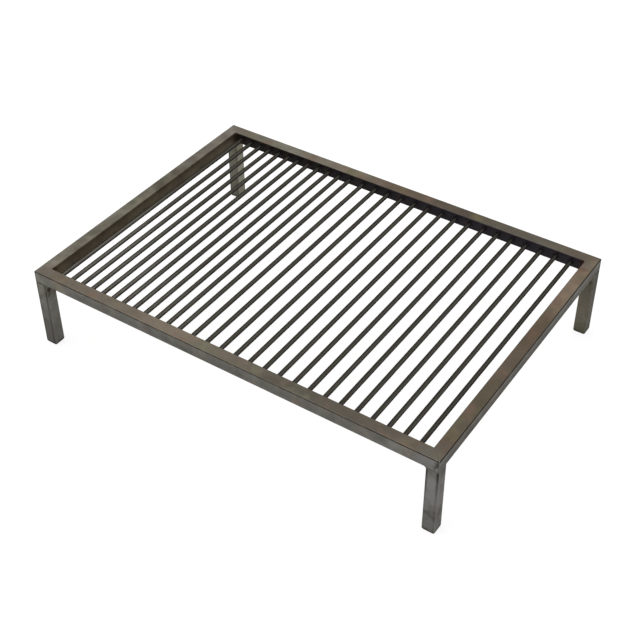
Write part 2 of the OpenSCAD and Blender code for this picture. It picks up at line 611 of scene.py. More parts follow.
@dataclass(frozen=True)
class RailFinish(Finish):
    """Bare drawn tube of one rail, with stains on top, darkened inside, and tinted beside the welds.

    Tones go along the rail, from its low end to its high one, and so does each pair of tones.
    """

    run: Run = Run.ALONG_X
    tones: tuple[tuple[float, Tone], ...] = ()
    corners: tuple[Tone, Tone] = (GREY, GREY)
    outer: Tone = GREY
    outer_ends: tuple[Tone, Tone] = (GREY, GREY)
    inner: tuple[Tone, Tone] = (GREY, GREY)
    # Strengths of the painted shade line and of the painted highlight band at the top outer edge.
    edge_shade_line: float = 0.6
    edge_highlight: float = 0.2
    mottle: float = 0.4
    green: Tone = GREY
    rose: Tone = GREY
    rust: Tone = shade(62, 36, 27)
    temper: float = 1.0
    scorch: float = 0.0

    @property
    def end(self) -> float:
        """How far the rail reaches from the middle of the frame."""
        return HALF_LENGTH if self.run is Run.ALONG_X else HALF_WIDTH

    def surface(self, graph: Graph, place: Socket, normal: Socket) -> tuple[Socket, Socket, Socket]:
        """Tones along the rail, then its faces, the heat of the welds, the edges, pits and grain.

        Args:
            graph: The material's tree.
            place: Position on the object, in metres.
            normal: Direction of the surface.

        Returns:
            Sockets of the colour, the roughness and the height.
        """
        faces = FACES.place(graph, Place=place, Normal=normal)
        grain = GRAIN.place(graph, Place=place, Squeeze=self.run.value)
        pits = PITS.place(graph, Place=place, Per_Metre=420.0, Share=0.3)
        colour = self.plain(graph, place, faces)
        colour = self.heated(graph, place, faces, colour)
        colour = self.edged(graph, place, faces, colour)
        colour = graph.stain(colour, pits["Spots"], 0.45, shade(45, 40, 34))
        wave = graph.minus(graph.noise(place, 44.0, 3.0, 0.55), 0.5)
        strength = graph.math("MAXIMUM", graph.times(faces["Outer"], 1.2), self.mottle)
        tone = graph.raised(0.82, wave, strength)
        tone = graph.raised(tone, grain["Cloud"], 0.22)
        tone = graph.raised(tone, grain["Lines"], 0.14)
        colour = graph.toned(colour, tone)
        rough = graph.raised(0.34, grain["Cloud"], 0.2)
        rough = graph.raised(rough, faces["Inner"], 0.12)
        height = graph.minus(grain["Height"], graph.times(pits["Spots"], 0.8))
        return colour, rough, height

    def plain(self, graph: Graph, place: Socket, faces: Outputs) -> Socket:
        """The rail's own tones: along its top, outside and inside.

        Args:
            graph: The material's tree.
            place: Position on the object, in metres.
            faces: Outputs of the faces' masks.

        Returns:
            Socket of the colour.
        """
        x, y, _ = graph.parts(place)
        patch = PATCHES.place(graph, Place=place, Per_Metre=26.0, Share=0.45)
        along = x if self.run is Run.ALONG_X else y
        length = graph.math("DIVIDE", graph.plus(along, self.end), 2 * self.end)
        sway = graph.times(graph.minus(graph.noise(place, 60.0, 2.0), 0.5), 0.1)
        colour = graph.ramp(graph.plus(length, sway), self.tones)
        colour = graph.stain(colour, patch["First"], 0.6, self.green)
        colour = graph.stain(colour, patch["Second"], 0.6, self.rose)
        side_x = graph.minus(HALF_LENGTH, graph.size(x))
        side_y = graph.minus(HALF_WIDTH, graph.size(y))
        mitre = graph.gap(side_x, side_y)
        near = graph.times(graph.ease(mitre, TUBE, 0.0), 0.8)
        half = graph.ease(along, -TUBE, TUBE)
        colour = graph.mix(near, colour, graph.mix(half, *self.corners))
        end = graph.ease(graph.size(along), self.end - 5 * TUBE, self.end - TUBE / 2)
        outer = graph.mix(end, self.outer, graph.mix(half, *self.outer_ends))
        outer = graph.stain(outer, patch["Third"], 0.35, self.rose)
        colour = graph.mix(faces["Outer"], colour, outer)
        inner = graph.mix(graph.ease(along, -0.8 * self.end, 0.6 * self.end), *self.inner)
        inner = graph.stain(inner, patch["Second"], 0.04, self.rose)
        return graph.mix(faces["Inner"], colour, inner)

    def heated(self, graph: Graph, place: Socket, faces: Outputs, colour: Socket) -> Socket:
        """Adds the temper colours next to the corner welds, rusty on the inner side.

        Args:
            graph: The material's tree.
            place: Position on the object, in metres.
            faces: Outputs of the faces' masks.
            colour: Socket of the colour so far.

        Returns:
            Socket of the colour.
        """
        x, y, _ = graph.parts(place)
        far_x = graph.minus(graph.size(x), LEG_X)
        far_y = graph.minus(graph.size(y), LEG_Y)
        far = graph.plus(graph.math("POWER", far_x, 2.0), graph.math("POWER", far_y, 2.0))
        far = graph.math("SQRT", far)
        heat = HEAT.place(graph, Place=place, Distance=far, Reach=50 * MM)
        bare = graph.minus(1.0, faces["Inner"])
        bands = (
            ("Straw", 0.25, shade(128, 112, 84)),
            ("Brown", 0.35, shade(96, 78, 62)),
            ("Blue", 0.2, shade(88, 88, 92)),
        )
        for band, share, tone in bands:
            seen = graph.times(heat[band], share * self.temper)
            colour = graph.stain(colour, seen, bare, tone)
        uneven = graph.times(graph.noise(place, 120.0, 2.0), 12 * MM)
        rusty = graph.ease(graph.plus(far, uneven), 31 * MM, 20 * MM)
        rusty = graph.times(graph.times(rusty, faces["Inner"]), 0.75)
        return graph.mix(rusty, colour, self.rust)

    def edged(self, graph: Graph, place: Socket, faces: Outputs, colour: Socket) -> Socket:
        """Adds painted shade as a dark line where the top rounds over, and a painted highlight band below
        it.

        Args:
            graph: The material's tree.
            place: Position on the object, in metres.
            faces: Outputs of the faces' masks.
            colour: Socket of the colour so far.

        Returns:
            Socket of the colour.
        """
        x, y, z = graph.parts(place)
        # Painted highlight: a lighter band over the upper part of the outer face.
        band = graph.times(faces["Outer"], graph.ease(z, TOP - 11.5 * MM, TOP - 5.5 * MM))
        colour = graph.stain(colour, band, self.edge_highlight, shade(132, 130, 123))
        # Painted shade: a dark line where the top rounds over, broken by noise and stronger towards the
        # ends.
        over = graph.times(faces["Edge"], graph.ease(z, TOP - 2.8 * MM, TOP - 1.4 * MM))
        over = graph.ease(graph.times(faces["Outer"], over), 0.2, 0.6)
        broken = graph.raised(0.45, graph.noise(place, 150.0, 2.0), 1.1)
        along = x if self.run is Run.ALONG_X else y
        ends = graph.ease(graph.size(along), self.end - 10 * TUBE, self.end)
        broken = graph.raised(broken, ends, 0.3)
        over = graph.times(graph.times(over, broken), self.edge_shade_line, clamp=True)
        colour = graph.mix(over, colour, shade(40, 31, 25))
        right = graph.ease(x, HALF_LENGTH - 11.5 * MM, HALF_LENGTH - 4 * MM)
        front = graph.ease(y, 3.5 * MM - HALF_WIDTH, MM - HALF_WIDTH)
        edge = graph.times(right, front)
        spots = graph.ease(graph.noise(place, 170.0, 3.0), 0.36, 0.52)
        edge = graph.times(graph.times(edge, spots), faces["Outer"])
        return graph.stain(colour, edge, self.scorch, shade(44, 42, 38))


@dataclass(frozen=True)
class LegFinish(Finish):
    """Bare drawn tube of a leg, with blotches, heat tint under the rails and painted shade at the foot.

    Tones go up the leg. The gain of painted light and shade on the side faces and the strength of the
    painted edge shade are given at the foot and at the top, and the smudge by its height and its strength.
    """

    tones: tuple[tuple[float, Tone], ...] = ()
    blotch: Tone = GREY
    tint: Tone = GREY
    height: float = TOP - TUBE
    # Painted light and shade: gain on the faces that look along x, at the foot and at the top.
    side: tuple[float, float] = (1.0, 1.0)
    # Painted shade along each vertical edge, at the foot and at the top.
    edge_shade: tuple[float, float] = (0.3, 0.6)
    # Painted highlight along each vertical edge.
    edge_highlight: float = 0.25
    soot: float = 0.0
    smudge: tuple[float, float] = (50 * MM, 0.0)

    def surface(self, graph: Graph, place: Socket, normal: Socket) -> tuple[Socket, Socket, Socket]:
        """Grey with soft blotches, then the heat band at the top, edges, pits and painted shade at the foot.

        Args:
            graph: The material's tree.
            place: Position on the object, in metres.
            normal: Direction of the surface.

        Returns:
            Sockets of the colour, the roughness and the height.
        """
        _, _, z = graph.parts(place)
        faces = FACES.place(graph, Place=place, Normal=normal)
        grain = GRAIN.place(graph, Place=place, Squeeze=Run.ALONG_Z.value)
        patch = PATCHES.place(graph, Place=place, Per_Metre=52.0, Share=0.55)
        pits = PITS.place(graph, Place=place, Per_Metre=480.0, Share=0.45)
        sway = graph.times(graph.minus(graph.noise(place, 90.0, 2.0), 0.5), 0.35)
        share = graph.plus(graph.math("DIVIDE", z, self.height), sway)
        colour = graph.ramp(share, self.tones)
        colour = graph.stain(colour, patch["First"], 0.6, self.blotch)
        colour = graph.stain(colour, patch["Second"], 0.3, shade(98, 90, 80))
        away = graph.gap(z, self.smudge[0])
        away = graph.raised(away, graph.noise(place, 110.0, 3.0), 50 * MM)
        smudge = graph.times(graph.ease(away, 38 * MM, 27 * MM), self.smudge[1])
        colour = graph.mix(smudge, colour, shade(74, 71, 64))
        colour = self.heated(graph, place, faces, colour)
        colour = graph.stain(colour, pits["Spots"], 0.5, shade(40, 38, 34))
        # Painted shade at the foot, darker towards the floor.
        foot = graph.ease(z, 6 * MM, 2.2 * MM)
        colour = graph.stain(colour, foot, 0.6, shade(40, 38, 36))
        colour = self.edged(graph, place, normal, colour)
        tone = graph.raised(0.8, grain["Cloud"], 0.26)
        tone = graph.raised(tone, grain["Lines"], 0.14)
        colour = graph.toned(colour, tone)
        rough = graph.raised(0.34, grain["Cloud"], 0.22)
        height = graph.minus(grain["Height"], graph.times(pits["Spots"], 0.8))
        return colour, rough, height

    def heated(self, graph: Graph, place: Socket, faces: Outputs, colour: Socket) -> Socket:
        """Adds the temper colours under the rails, and soot on the faces that look in.

        Args:
            graph: The material's tree.
            place: Position on the object, in metres.
            faces: Outputs of the faces' masks.
            colour: Socket of the colour so far.

        Returns:
            Socket of the colour.
        """
        _, _, z = graph.parts(place)
        below = graph.minus(self.height, z)
        heat = HEAT.place(graph, Place=place, Distance=below, Reach=26 * MM)
        burn = graph.raised(0.3, faces["Inner"], 0.7)
        bands = (
            ("Brown", 0.6, self.tint),
            ("Blue", 0.55, shade(92, 90, 76)),
            ("Burnt", 0.5, shade(78, 70, 60)),
        )
        for band, share, tone in bands:
            seen = graph.times(heat[band], share)
            colour = graph.stain(colour, seen, burn, tone)
        spots = graph.ease(graph.noise(place, 190.0, 2.0), 0.5, 0.6)
        spots = graph.times(spots, graph.ease(z, self.height - 34 * MM, self.height - 10 * MM))
        spots = graph.times(graph.times(spots, faces["Inner"]), self.soot)
        return graph.mix(spots, colour, shade(44, 35, 26))

    def edged(self, graph: Graph, place: Socket, normal: Socket, colour: Socket) -> Socket:
        """Paints light and shade on the faces to the sides, and a painted shade line and a painted highlight
        along each edge.

        Args:
            graph: The material's tree.
            place: Position on the object, in metres.
            normal: Direction of the surface.
            colour: Socket of the colour so far.

        Returns:
            Socket of the colour.
        """
        x, y, z = graph.parts(place)
        turn_x, turn_y, _ = graph.parts(normal)
        sideways = graph.ease(graph.size(turn_x), 0.4, 0.8)
        facing = graph.ease(graph.size(turn_y), 0.4, 0.8)
        off_x = graph.gap(graph.size(x), LEG_X)
        off_y = graph.gap(graph.size(y), LEG_Y)
        # Painted light and shade: the faces that look along x are made lighter or darker, by a gain from the
        # foot to the top.
        rise = graph.ease(z, 0.0, self.height)
        low, high = (share - 1.0 for share in self.side)
        gain = graph.plus(low, graph.times(rise, high - low))
        gain = graph.raised(1.0, gain, sideways)
        colour = graph.toned(colour, gain)
        # Painted highlight along each vertical edge, on the faces that look along x, broken by noise.
        edge_breakup = graph.noise(graph.vector("MULTIPLY", place, (1.0, 1.0, 0.35)), 240.0, 2.0)
        edge_highlight = graph.times(graph.ease(off_y, 4.5 * MM, 7.5 * MM), sideways)
        edge_highlight = graph.times(graph.times(edge_highlight, self.edge_highlight), graph.ease(edge_breakup, 0.3, 0.6))
        colour = graph.mix(edge_highlight, colour, shade(140, 138, 132))
        # Painted shade along each vertical edge, on the faces that look along y, deeper towards the top.
        low, high = self.edge_shade
        depth = graph.raised(low, graph.ease(z, 50 * MM, self.height), high - low)
        edge_shade = graph.times(graph.ease(off_x, 5 * MM, 8.2 * MM), facing)
        edge_shade = graph.times(edge_shade, graph.raised(0.4, edge_breakup, 1.2))
        edge_shade = graph.times(edge_shade, depth, clamp=True)
        return graph.mix(edge_shade, colour, shade(48, 45, 40))


@dataclass(frozen=True)
class RodFinish(Finish):
    """Dark hot-rolled bar, with a painted highlight along its upper side and burnt where it goes into the
    rails.
    """

    glance: float = 0.12
    scale: Tone = (0.03, 0.03, 0.03)
    # Tones of the painted highlight, and of its brighter form on the front left rods.
    highlight_tone: Tone = (0.07, 0.07, 0.06)
    bright: Tone = (0.1, 0.1, 0.09)

    def surface(self, graph: Graph, place: Socket, normal: Socket) -> tuple[Socket, Socket, Socket]:
        """Scale with streaks, the painted highlight on top and the burnt ends.

        Args:
            graph: The material's tree.
            place: Position on the object, in metres.
            normal: Direction of the surface.

        Returns:
            Sockets of the colour, the roughness and the height.
        """
        x, y, _ = graph.parts(place)
        across, _, up = graph.parts(normal)
        grain = GRAIN.place(graph, Place=place, Squeeze=Run.ALONG_Y.value)
        patch = PATCHES.place(graph, Place=place, Per_Metre=34.0, Share=0.6)
        # Painted highlight: lighter along the upper side that leans towards +x, streaked by the grain.
        over = graph.plus(graph.times(up, 0.74), graph.times(across, 0.67))
        top = graph.ease(graph.raised(over, grain["Lines"], 0.2), 0.86, 1.12)
        # The painted highlight is brighter on the rods at the front left.
        front_left_share = graph.ease(graph.plus(x, y), -0.2, -0.42)
        highlight_tone = graph.mix(front_left_share, self.highlight_tone, self.bright)
        colour = graph.mix(top, self.scale, highlight_tone)
        colour = graph.stain(colour, patch["First"], 0.3, shade(74, 66, 56))
        from_rail = graph.minus(HALF_WIDTH - TUBE, graph.size(y))
        heat = HEAT.place(graph, Place=place, Distance=from_rail, Reach=30 * MM)
        colour = graph.stain(colour, heat["Brown"], 0.3, shade(70, 58, 46))
        colour = graph.stain(colour, heat["Blue"], 0.2, shade(46, 46, 52))
        colour = graph.stain(colour, heat["Burnt"], 0.25, shade(26, 24, 26))
        tone = graph.raised(0.75, grain["Cloud"], 0.3)
        tone = graph.raised(tone, grain["Lines"], 0.2)
        colour = graph.toned(colour, tone)
        rough = graph.raised(0.36, grain["Cloud"], 0.2)
        return colour, rough, grain["Height"]


@dataclass(frozen=True)
class WeldFinish(Finish):
    """Weld metal with temper colours and specks of slag, ground flush on the outside of the frame."""

    body: Tone = (0.1, 0.1, 0.1)
    stain: Tone = (0.05, 0.04, 0.03)
    ground: Tone = (0.1, 0.1, 0.1)

    def surface(self, graph: Graph, place: Socket, normal: Socket) -> tuple[Socket, Socket, Socket]:
        """Weld metal, stained in patches, with slag in the pits.

        Args:
            graph: The material's tree.
            place: Position on the object, in metres.
            normal: Direction of the surface.

        Returns:
            Sockets of the colour, the roughness and the height.
        """
        grain = GRAIN.place(graph, Place=place, Squeeze=(1.0, 1.0, 1.0))
        faces = FACES.place(graph, Place=place, Normal=normal)
        patch = PATCHES.place(graph, Place=place, Per_Metre=180.0, Share=0.6)
        colour = graph.stain(self.body, patch["First"], 0.7, self.stain)
        colour = graph.stain(colour, patch["Second"], 0.35, shade(70, 74, 88))
        colour = graph.mix(faces["Outer"], colour, self.ground)
        pits = PITS.place(graph, Place=place, Per_Metre=900.0, Share=0.8)
        colour = graph.stain(colour, pits["Spots"], 0.4, shade(30, 27, 24))
        rough = graph.raised(0.32, grain["Cloud"], 0.25)
        height = graph.minus(grain["Height"], graph.times(pits["Spots"], 0.5))
        return colour, rough, height


class Shell:
    """Vertices and faces of a piece while it is being made."""

    def __init__(self) -> None:
        """Starts with nothing."""
        self.points: list[Vector] = []
        self.faces: list[tuple[int, ...]] = []

    def loft(self, rings: list[list[Vector]], closed: bool = False) -> None:
        """Joins rings of points to a skin, with caps at the ends unless it closes on itself.

        Args:
            rings: Rings with the same number of points, in order.
            closed: Joins the last ring to the first.
        """
        first = len(self.points)
        count = len(rings[0])
        for ring in rings:
            self.points.extend(ring)
        spans = len(rings) if closed else len(rings) - 1
        for row in range(spans):
            low = first + row * count
            high = first + ((row + 1) % len(rings)) * count
            for step in range(count):
                after = (step + 1) % count
                self.faces.append((low + step, low + after, high + after, high + step))
        if not closed:
            last = first + (len(rings) - 1) * count
            self.faces.append(tuple(first + step for step in reversed(range(count))))
            self.faces.append(tuple(last + step for step in range(count)))

    def piece(self, name: str, slot: Slot, nodes: tuple[str, ...]) -> bpy.types.Object:
        """Makes the object that stands for CAD nodes.

        Args:
            name: Name of the piece.
            slot: Material slot of the record; not used.
            nodes: The nodes that it stands for.

        Returns:
            The new object, riding on the one body.
        """
        mesh = bpy.data.meshes.new(name)
        mesh.from_pydata([tuple(p) for p in self.points], [], self.faces)
        mesh.validate()
        made = bpy.data.objects.new(name, mesh)
        bpy.context.scene.collection.objects.link(made)
        self.face_outward(mesh)
        for face in mesh.polygons:
            face.use_smooth = True
        mesh.set_sharp_from_angle(angle=math.radians(50))
        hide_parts(*nodes)
        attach(made, "root")
        return made

    @staticmethod
    def face_outward(mesh: bpy.types.Mesh) -> None:
        """Turns every face of a closed mesh to look out.

        Args:
            mesh: The mesh.
        """
        work = bmesh.new()
        work.from_mesh(mesh)
        bmesh.ops.recalc_face_normals(work, faces=work.faces)
        work.to_mesh(mesh)
        work.free()


@dataclass(frozen=True)
class Bead:
    """A weld bead in the corner between two faces, with the ripples of its puddle."""

    reach_out: float
    reach_up: float
    ripple: float = 1.1 * MM
    depth: float = 0.14
    steps: int = 7

    def lay(
        self,
        shell: Shell,
        path: list[Vector],
        outs: list[Vector],
        ups: list[Vector],
        closed: bool = False,
    ) -> None:
        """Lays the bead along a path.

        Args:
            shell: Where its skin goes.
            path: The line where the two faces meet.
            outs: At each point, the way along the first face.
            ups: At each point, the way along the second face.
            closed: The path is a ring.
        """
        rings = []
        run = 0.0
        total = sum((b - a).length for a, b in zip(path, path[1:]))
        for index, point in enumerate(path):
            if index:
                run += (point - path[index - 1]).length
            ends = 1.0
            if not closed:
                near = min(run, total - run) / (0.9 * MM)
                ends = 0.35 + 0.65 * math.sqrt(min(1.0, max(0.0, near)))
            ring = [point - (outs[index] + ups[index]) * 0.05 * MM]
            for step in range(self.steps):
                turn = step / (self.steps - 1)
                angle = 0.5 * math.pi * turn
                lag = 0.35 * math.sin(math.pi * turn)
                wave = 0.5 + 0.5 * math.cos(2 * math.pi * (run / self.ripple - lag))
                rugged = noise.noise(point * 900.0 + Vector((turn * 3.0, 0.0, 0.0)))
                swell = ends * (1.0 - self.depth * (1.0 - wave) ** 1.5 + 0.05 * rugged)
                swell *= 1.0 - 0.12 * math.sin(math.pi * turn)
                size = min(swell, 1.0)
                away = outs[index] * (self.reach_out * size * math.cos(angle))
                ring.append(point + away + ups[index] * (self.reach_up * size * math.sin(angle)))
            rings.append(ring)
        shell.loft(rings, closed)


@dataclass
class Frame:
    """The four rails, mitred and welded to a rectangle."""

    corners: dict[Corner, Tone] = field(default_factory=lambda: {
        Corner.FRONT_LEFT: shade(118, 110, 100),
        Corner.FRONT_RIGHT: shade(101, 95, 83),
        Corner.REAR_LEFT: shade(118, 112, 102),
        Corner.REAR_RIGHT: shade(110, 99, 85),
    })

    def finishes(self) -> dict[str, RailFinish]:
        """The finish of each rail, because each was cut from another length of tube.

        Returns:
            Finish by rail.
        """
        green, rose = shade(112, 112, 92), shade(122, 102, 90)
        near_left, near_right, far_left, far_right = (self.corners[corner] for corner in Corner)
        return {
            "front_rail": RailFinish(
                "Front rail steel", run=Run.ALONG_X, corners=(near_left, near_right),
                tones=((0.0, shade(119, 109, 98)), (0.18, shade(113, 104, 92)),
                       (0.36, shade(121, 110, 96)), (0.5, shade(107, 99, 87)),
                       (0.66, shade(89, 83, 73)), (0.84, shade(92, 85, 75)), (1.0, shade(104, 98, 86))),
                outer=shade(105, 103, 97), outer_ends=(shade(116, 115, 107), shade(130, 129, 126)),
                inner=(shade(60, 54, 46), shade(60, 54, 46)),
                edge_shade_line=0.8, edge_highlight=0.15, mottle=0.5, scorch=0.8, green=green, rose=rose,
            ),
            "rear_rail": RailFinish(
                "Rear rail steel", run=Run.ALONG_X, corners=(far_left, far_right),
                tones=((0.0, shade(113, 107, 95)), (0.18, shade(122, 118, 107)),
                       (0.34, shade(123, 114, 101)), (0.5, shade(103, 90, 76)),
                       (0.66, shade(92, 83, 71)), (0.84, shade(99, 93, 83)), (1.0, shade(103, 94, 82))),
                outer=shade(106, 104, 98), outer_ends=(shade(112, 110, 104), shade(112, 110, 104)),
                inner=(shade(33, 29, 27), shade(48, 44, 50)),
                edge_shade_line=0.4, edge_highlight=0.15, mottle=0.7, temper=0.7,
                green=shade(114, 108, 78), rose=shade(120, 96, 80),
            ),
            "left_rail": RailFinish(
                "Left rail steel", run=Run.ALONG_Y, corners=(near_left, far_left),
                tones=((0.0, shade(126, 120, 110)), (0.24, shade(114, 109, 97)),
                       (0.42, shade(118, 113, 101)), (0.6, shade(103, 97, 85)),
                       (0.78, shade(113, 107, 97)), (1.0, shade(134, 127, 118))),
                outer=shade(108, 106, 101), outer_ends=(shade(116, 115, 110), shade(116, 115, 110)),
                inner=(shade(87, 77, 62), shade(88, 79, 64)),
                edge_shade_line=0.35, edge_highlight=0.2, mottle=1.5, temper=0.3, green=green, rose=shade(112, 100, 90),
            ),
            "right_rail": RailFinish(
                "Right rail steel", run=Run.ALONG_Y, corners=(near_right, far_right),
                tones=((0.0, shade(95, 88, 76)), (0.25, shade(93, 85, 69)),
                       (0.42, shade(98, 87, 74)), (0.6, shade(96, 83, 68)),
                       (0.78, shade(131, 115, 98)), (1.0, shade(125, 112, 95))),
                outer=shade(100, 97, 92), outer_ends=(shade(102, 100, 96), shade(98, 96, 90)),
                inner=(shade(72, 56, 46), shade(72, 56, 46)),
                edge_shade_line=0.95, edge_highlight=0.5, mottle=0.55, green=shade(98, 94, 76), rose=shade(112, 90, 78),
            ),
        }

    def dress(self) -> None:
        """Gives each rail and each ground corner weld its finish."""
        for name, finish in self.finishes().items():
            finish.dress(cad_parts[name])
            LOG.info("%s: %s", name, finish.name)
        for corner, body in self.corners.items():
            stain = (body[0] * 0.7, body[1] * 0.62, body[2] * 0.55)
            ground = WeldFinish(
                f"Ground {corner.label} weld", body=body, stain=stain, ground=shade(120, 119, 115)
            )
            ground.dress(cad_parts[f"{corner.label}_mitre_weld"])
            LOG.info("%s_mitre_weld: %s", corner.label, ground.name)


@dataclass
class Legs:
    """The four legs with their foot plates and the beads at both ends."""

    bead: Bead = Bead(2.5 * MM, 2.5 * MM, ripple=1.5 * MM)
    foot_bead: Bead = Bead(0.7 * MM, 1.4 * MM, ripple=1.0 * MM, depth=0.1)
    ease: float = 2.0 * MM
    corner_steps: int = 6
    flat_steps: int = 24
    rings: int = 7
    bead_steps: int = 60
    bead_inset: float = 0.6 * MM

    def outline(self, middle: Vector, half: float, z: float) -> tuple[list[Vector], list[Vector]]:
        """Points round a square with eased corners.

        Args:
            middle: Centre of the square.
            half: Half its width.
            z: Height of the points.

        Returns:
            The points, and the way out at each.
        """
        points, outs = [], []
        core = half - self.ease
        for quarter in range(4):
            base = quarter * 0.5 * math.pi
            for step in range(self.corner_steps + 1):
                angle = base + 0.5 * math.pi * step / self.corner_steps
                way = Vector((math.cos(angle), math.sin(angle), 0.0))
                sign = Vector((1 if quarter in (0, 3) else -1, 1 if quarter < 2 else -1, 0.0))
                points.append(Vector((middle.x, middle.y, z)) + sign * core + way * self.ease)
                outs.append(way)
            turned = Matrix.Rotation(base, 3, "Z")
            for step in range(1, self.flat_steps):
                share = step / self.flat_steps
                flat = turned @ Vector((core - 2 * core * share, half, 0.0))
                points.append(Vector((middle.x, middle.y, z)) + flat)
                outs.append(turned @ Vector((0.0, 1.0, 0.0)))
        return points, outs

    @staticmethod
    def groove(corner: Corner) -> float:
        """How far the weld under the rails lies behind the leg's faces: one corner was ground flush."""
        return 0.05 * MM if corner is Corner.FRONT_RIGHT else 0.45 * MM

    @staticmethod
    def fill(corner: Corner) -> float:
        """How far up the rounded edge of the rails the same weld reaches."""
        return 1.9 * MM if corner is Corner.FRONT_RIGHT else 0.3 * MM

    def finishes(self) -> dict[Corner, LegFinish]:
        """The finish of each leg, because each has its own stains.

        Returns:
            Finish by corner.
        """
        return {
            Corner.FRONT_LEFT: LegFinish(
                "Front left leg steel", tint=shade(100, 86, 72), blotch=shade(78, 74, 66),
                tones=((0.08, shade(94, 93, 89)), (0.3, shade(95, 93, 88)), (0.55, shade(109, 108, 102)),
                       (0.8, shade(119, 118, 111)), (1.0, shade(126, 125, 118))),
                side=(1.6, 1.0), edge_shade=(0.5, 0.75), edge_highlight=0.15, soot=0.9, smudge=(94 * MM, 0.22),
            ),
            Corner.FRONT_RIGHT: LegFinish(
                "Front right leg steel", tint=shade(104, 102, 94), blotch=shade(84, 81, 75),
                tones=((0.08, shade(121, 119, 117)), (0.28, shade(117, 115, 111)),
                       (0.5, shade(128, 126, 124)), (0.76, shade(132, 130, 128)),
                       (1.0, shade(114, 114, 109))),
                side=(1.25, 0.95), edge_shade=(0.2, 0.95), edge_highlight=0.5, smudge=(36 * MM, 0.55),
            ),
            Corner.REAR_LEFT: LegFinish(
                "Rear left leg steel", tint=shade(96, 90, 74), blotch=shade(94, 92, 80),
                tones=((0.1, shade(103, 102, 91)), (0.5, shade(112, 111, 100)), (1.0, shade(108, 108, 95))),
                side=(2.1, 1.6), edge_shade=(0.2, 0.4), edge_highlight=0.15,
            ),
            Corner.REAR_RIGHT: LegFinish(
                "Rear right leg steel", tint=shade(92, 84, 68), blotch=shade(104, 95, 80),
                tones=((0.08, shade(104, 102, 88)), (0.28, shade(120, 114, 102)), (0.5, shade(111, 104, 90)),
                       (0.8, shade(100, 96, 84)), (1.0, shade(120, 117, 104))),
                side=(0.8, 0.5), edge_shade=(0.05, 0.05), edge_highlight=0.35, soot=0.6,
            ),
        }

    def top_weld(self, corner: Corner) -> bpy.types.Object:
        """Builds the weld between a leg and the rails.

        Args:
            corner: The leg's corner.

        Returns:
            The weld's object.
        """
        low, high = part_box(f"{corner.label}_leg")
        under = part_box("front_rail")[0].z
        middle, half = (low + high) / 2, (high.x - low.x) / 2
        shell = Shell()
        rings = []
        for step in range(self.rings + 1):
            share = step / self.rings
            z = high.z + (under + self.fill(corner) - high.z) * share
            back = self.groove(corner) * (0.45 + 0.55 * math.sin(math.pi * share))
            points, outs = self.outline(middle, half, z)
            ring = []
            for point, out in zip(points, outs):
                dent = 0.5 * self.groove(corner) * noise.noise(point * 700.0)
                ring.append(point - out * (back + abs(dent)))
            rings.append(ring)
        shell.loft(rings)
        side_x, side_y = corner.side
        for along_x in (True, False):
            inward = Vector((-side_x, 0, 0)) if along_x else Vector((0, -side_y, 0))
            across = Vector((0, 1, 0)) if along_x else Vector((1, 0, 0))
            reach = half - self.bead_inset
            start = Vector((middle.x, middle.y, under)) + inward * half - across * reach
            span = 2 * reach
            path = [start + across * (span * step / self.bead_steps) for step in range(self.bead_steps + 1)]
            count = len(path)
            self.bead.lay(shell, path, [inward] * count, [Vector((0, 0, -1))] * count)
        name = f"{corner.label}_leg_weld"
        return shell.piece(f"{name}_bead", Slot.WELD, (name,))

    def foot_welds(self) -> bpy.types.Object:
        """Builds the rings of weld round the four foot plates.

        Returns:
            The welds' object.
        """
        shell = Shell()
        for corner in Corner:
            low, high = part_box(f"{corner.label}_foot_plate")
            middle, half = (low + high) / 2, (high.x - low.x) / 2
            points, outs = self.outline(middle, half, high.z)
            downs = [Vector((0, 0, -1))] * len(points)
            self.foot_bead.lay(shell, points, outs, downs, closed=True)
        return shell.piece("foot_plate_weld_rings", Slot.WELD, ("foot_plate_welds",))

    def build(self) -> None:
        """Dresses the legs and plates, and builds their welds."""
        plate = LegFinish(
            "Foot plate steel", tint=shade(70, 62, 54), blotch=shade(58, 56, 52),
            tones=((0.0, shade(76, 74, 70)), (1.0, shade(90, 88, 84))),
        )
        weld = WeldFinish(
            "Weld bead", body=shade(108, 102, 92), stain=shade(76, 63, 50), ground=shade(104, 102, 96)
        )
        for corner, finish in self.finishes().items():
            finish.dress(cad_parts[f"{corner.label}_leg"])
            plate.dress(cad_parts[f"{corner.label}_foot_plate"])
            made = self.top_weld(corner)
            weld.dress(made)
            LOG.info("%s_leg, %s_foot_plate and %s", corner.label, corner.label, made.name)
        rings = self.foot_welds()
        weld.dress(rings)
        LOG.info("%s", rings.name)


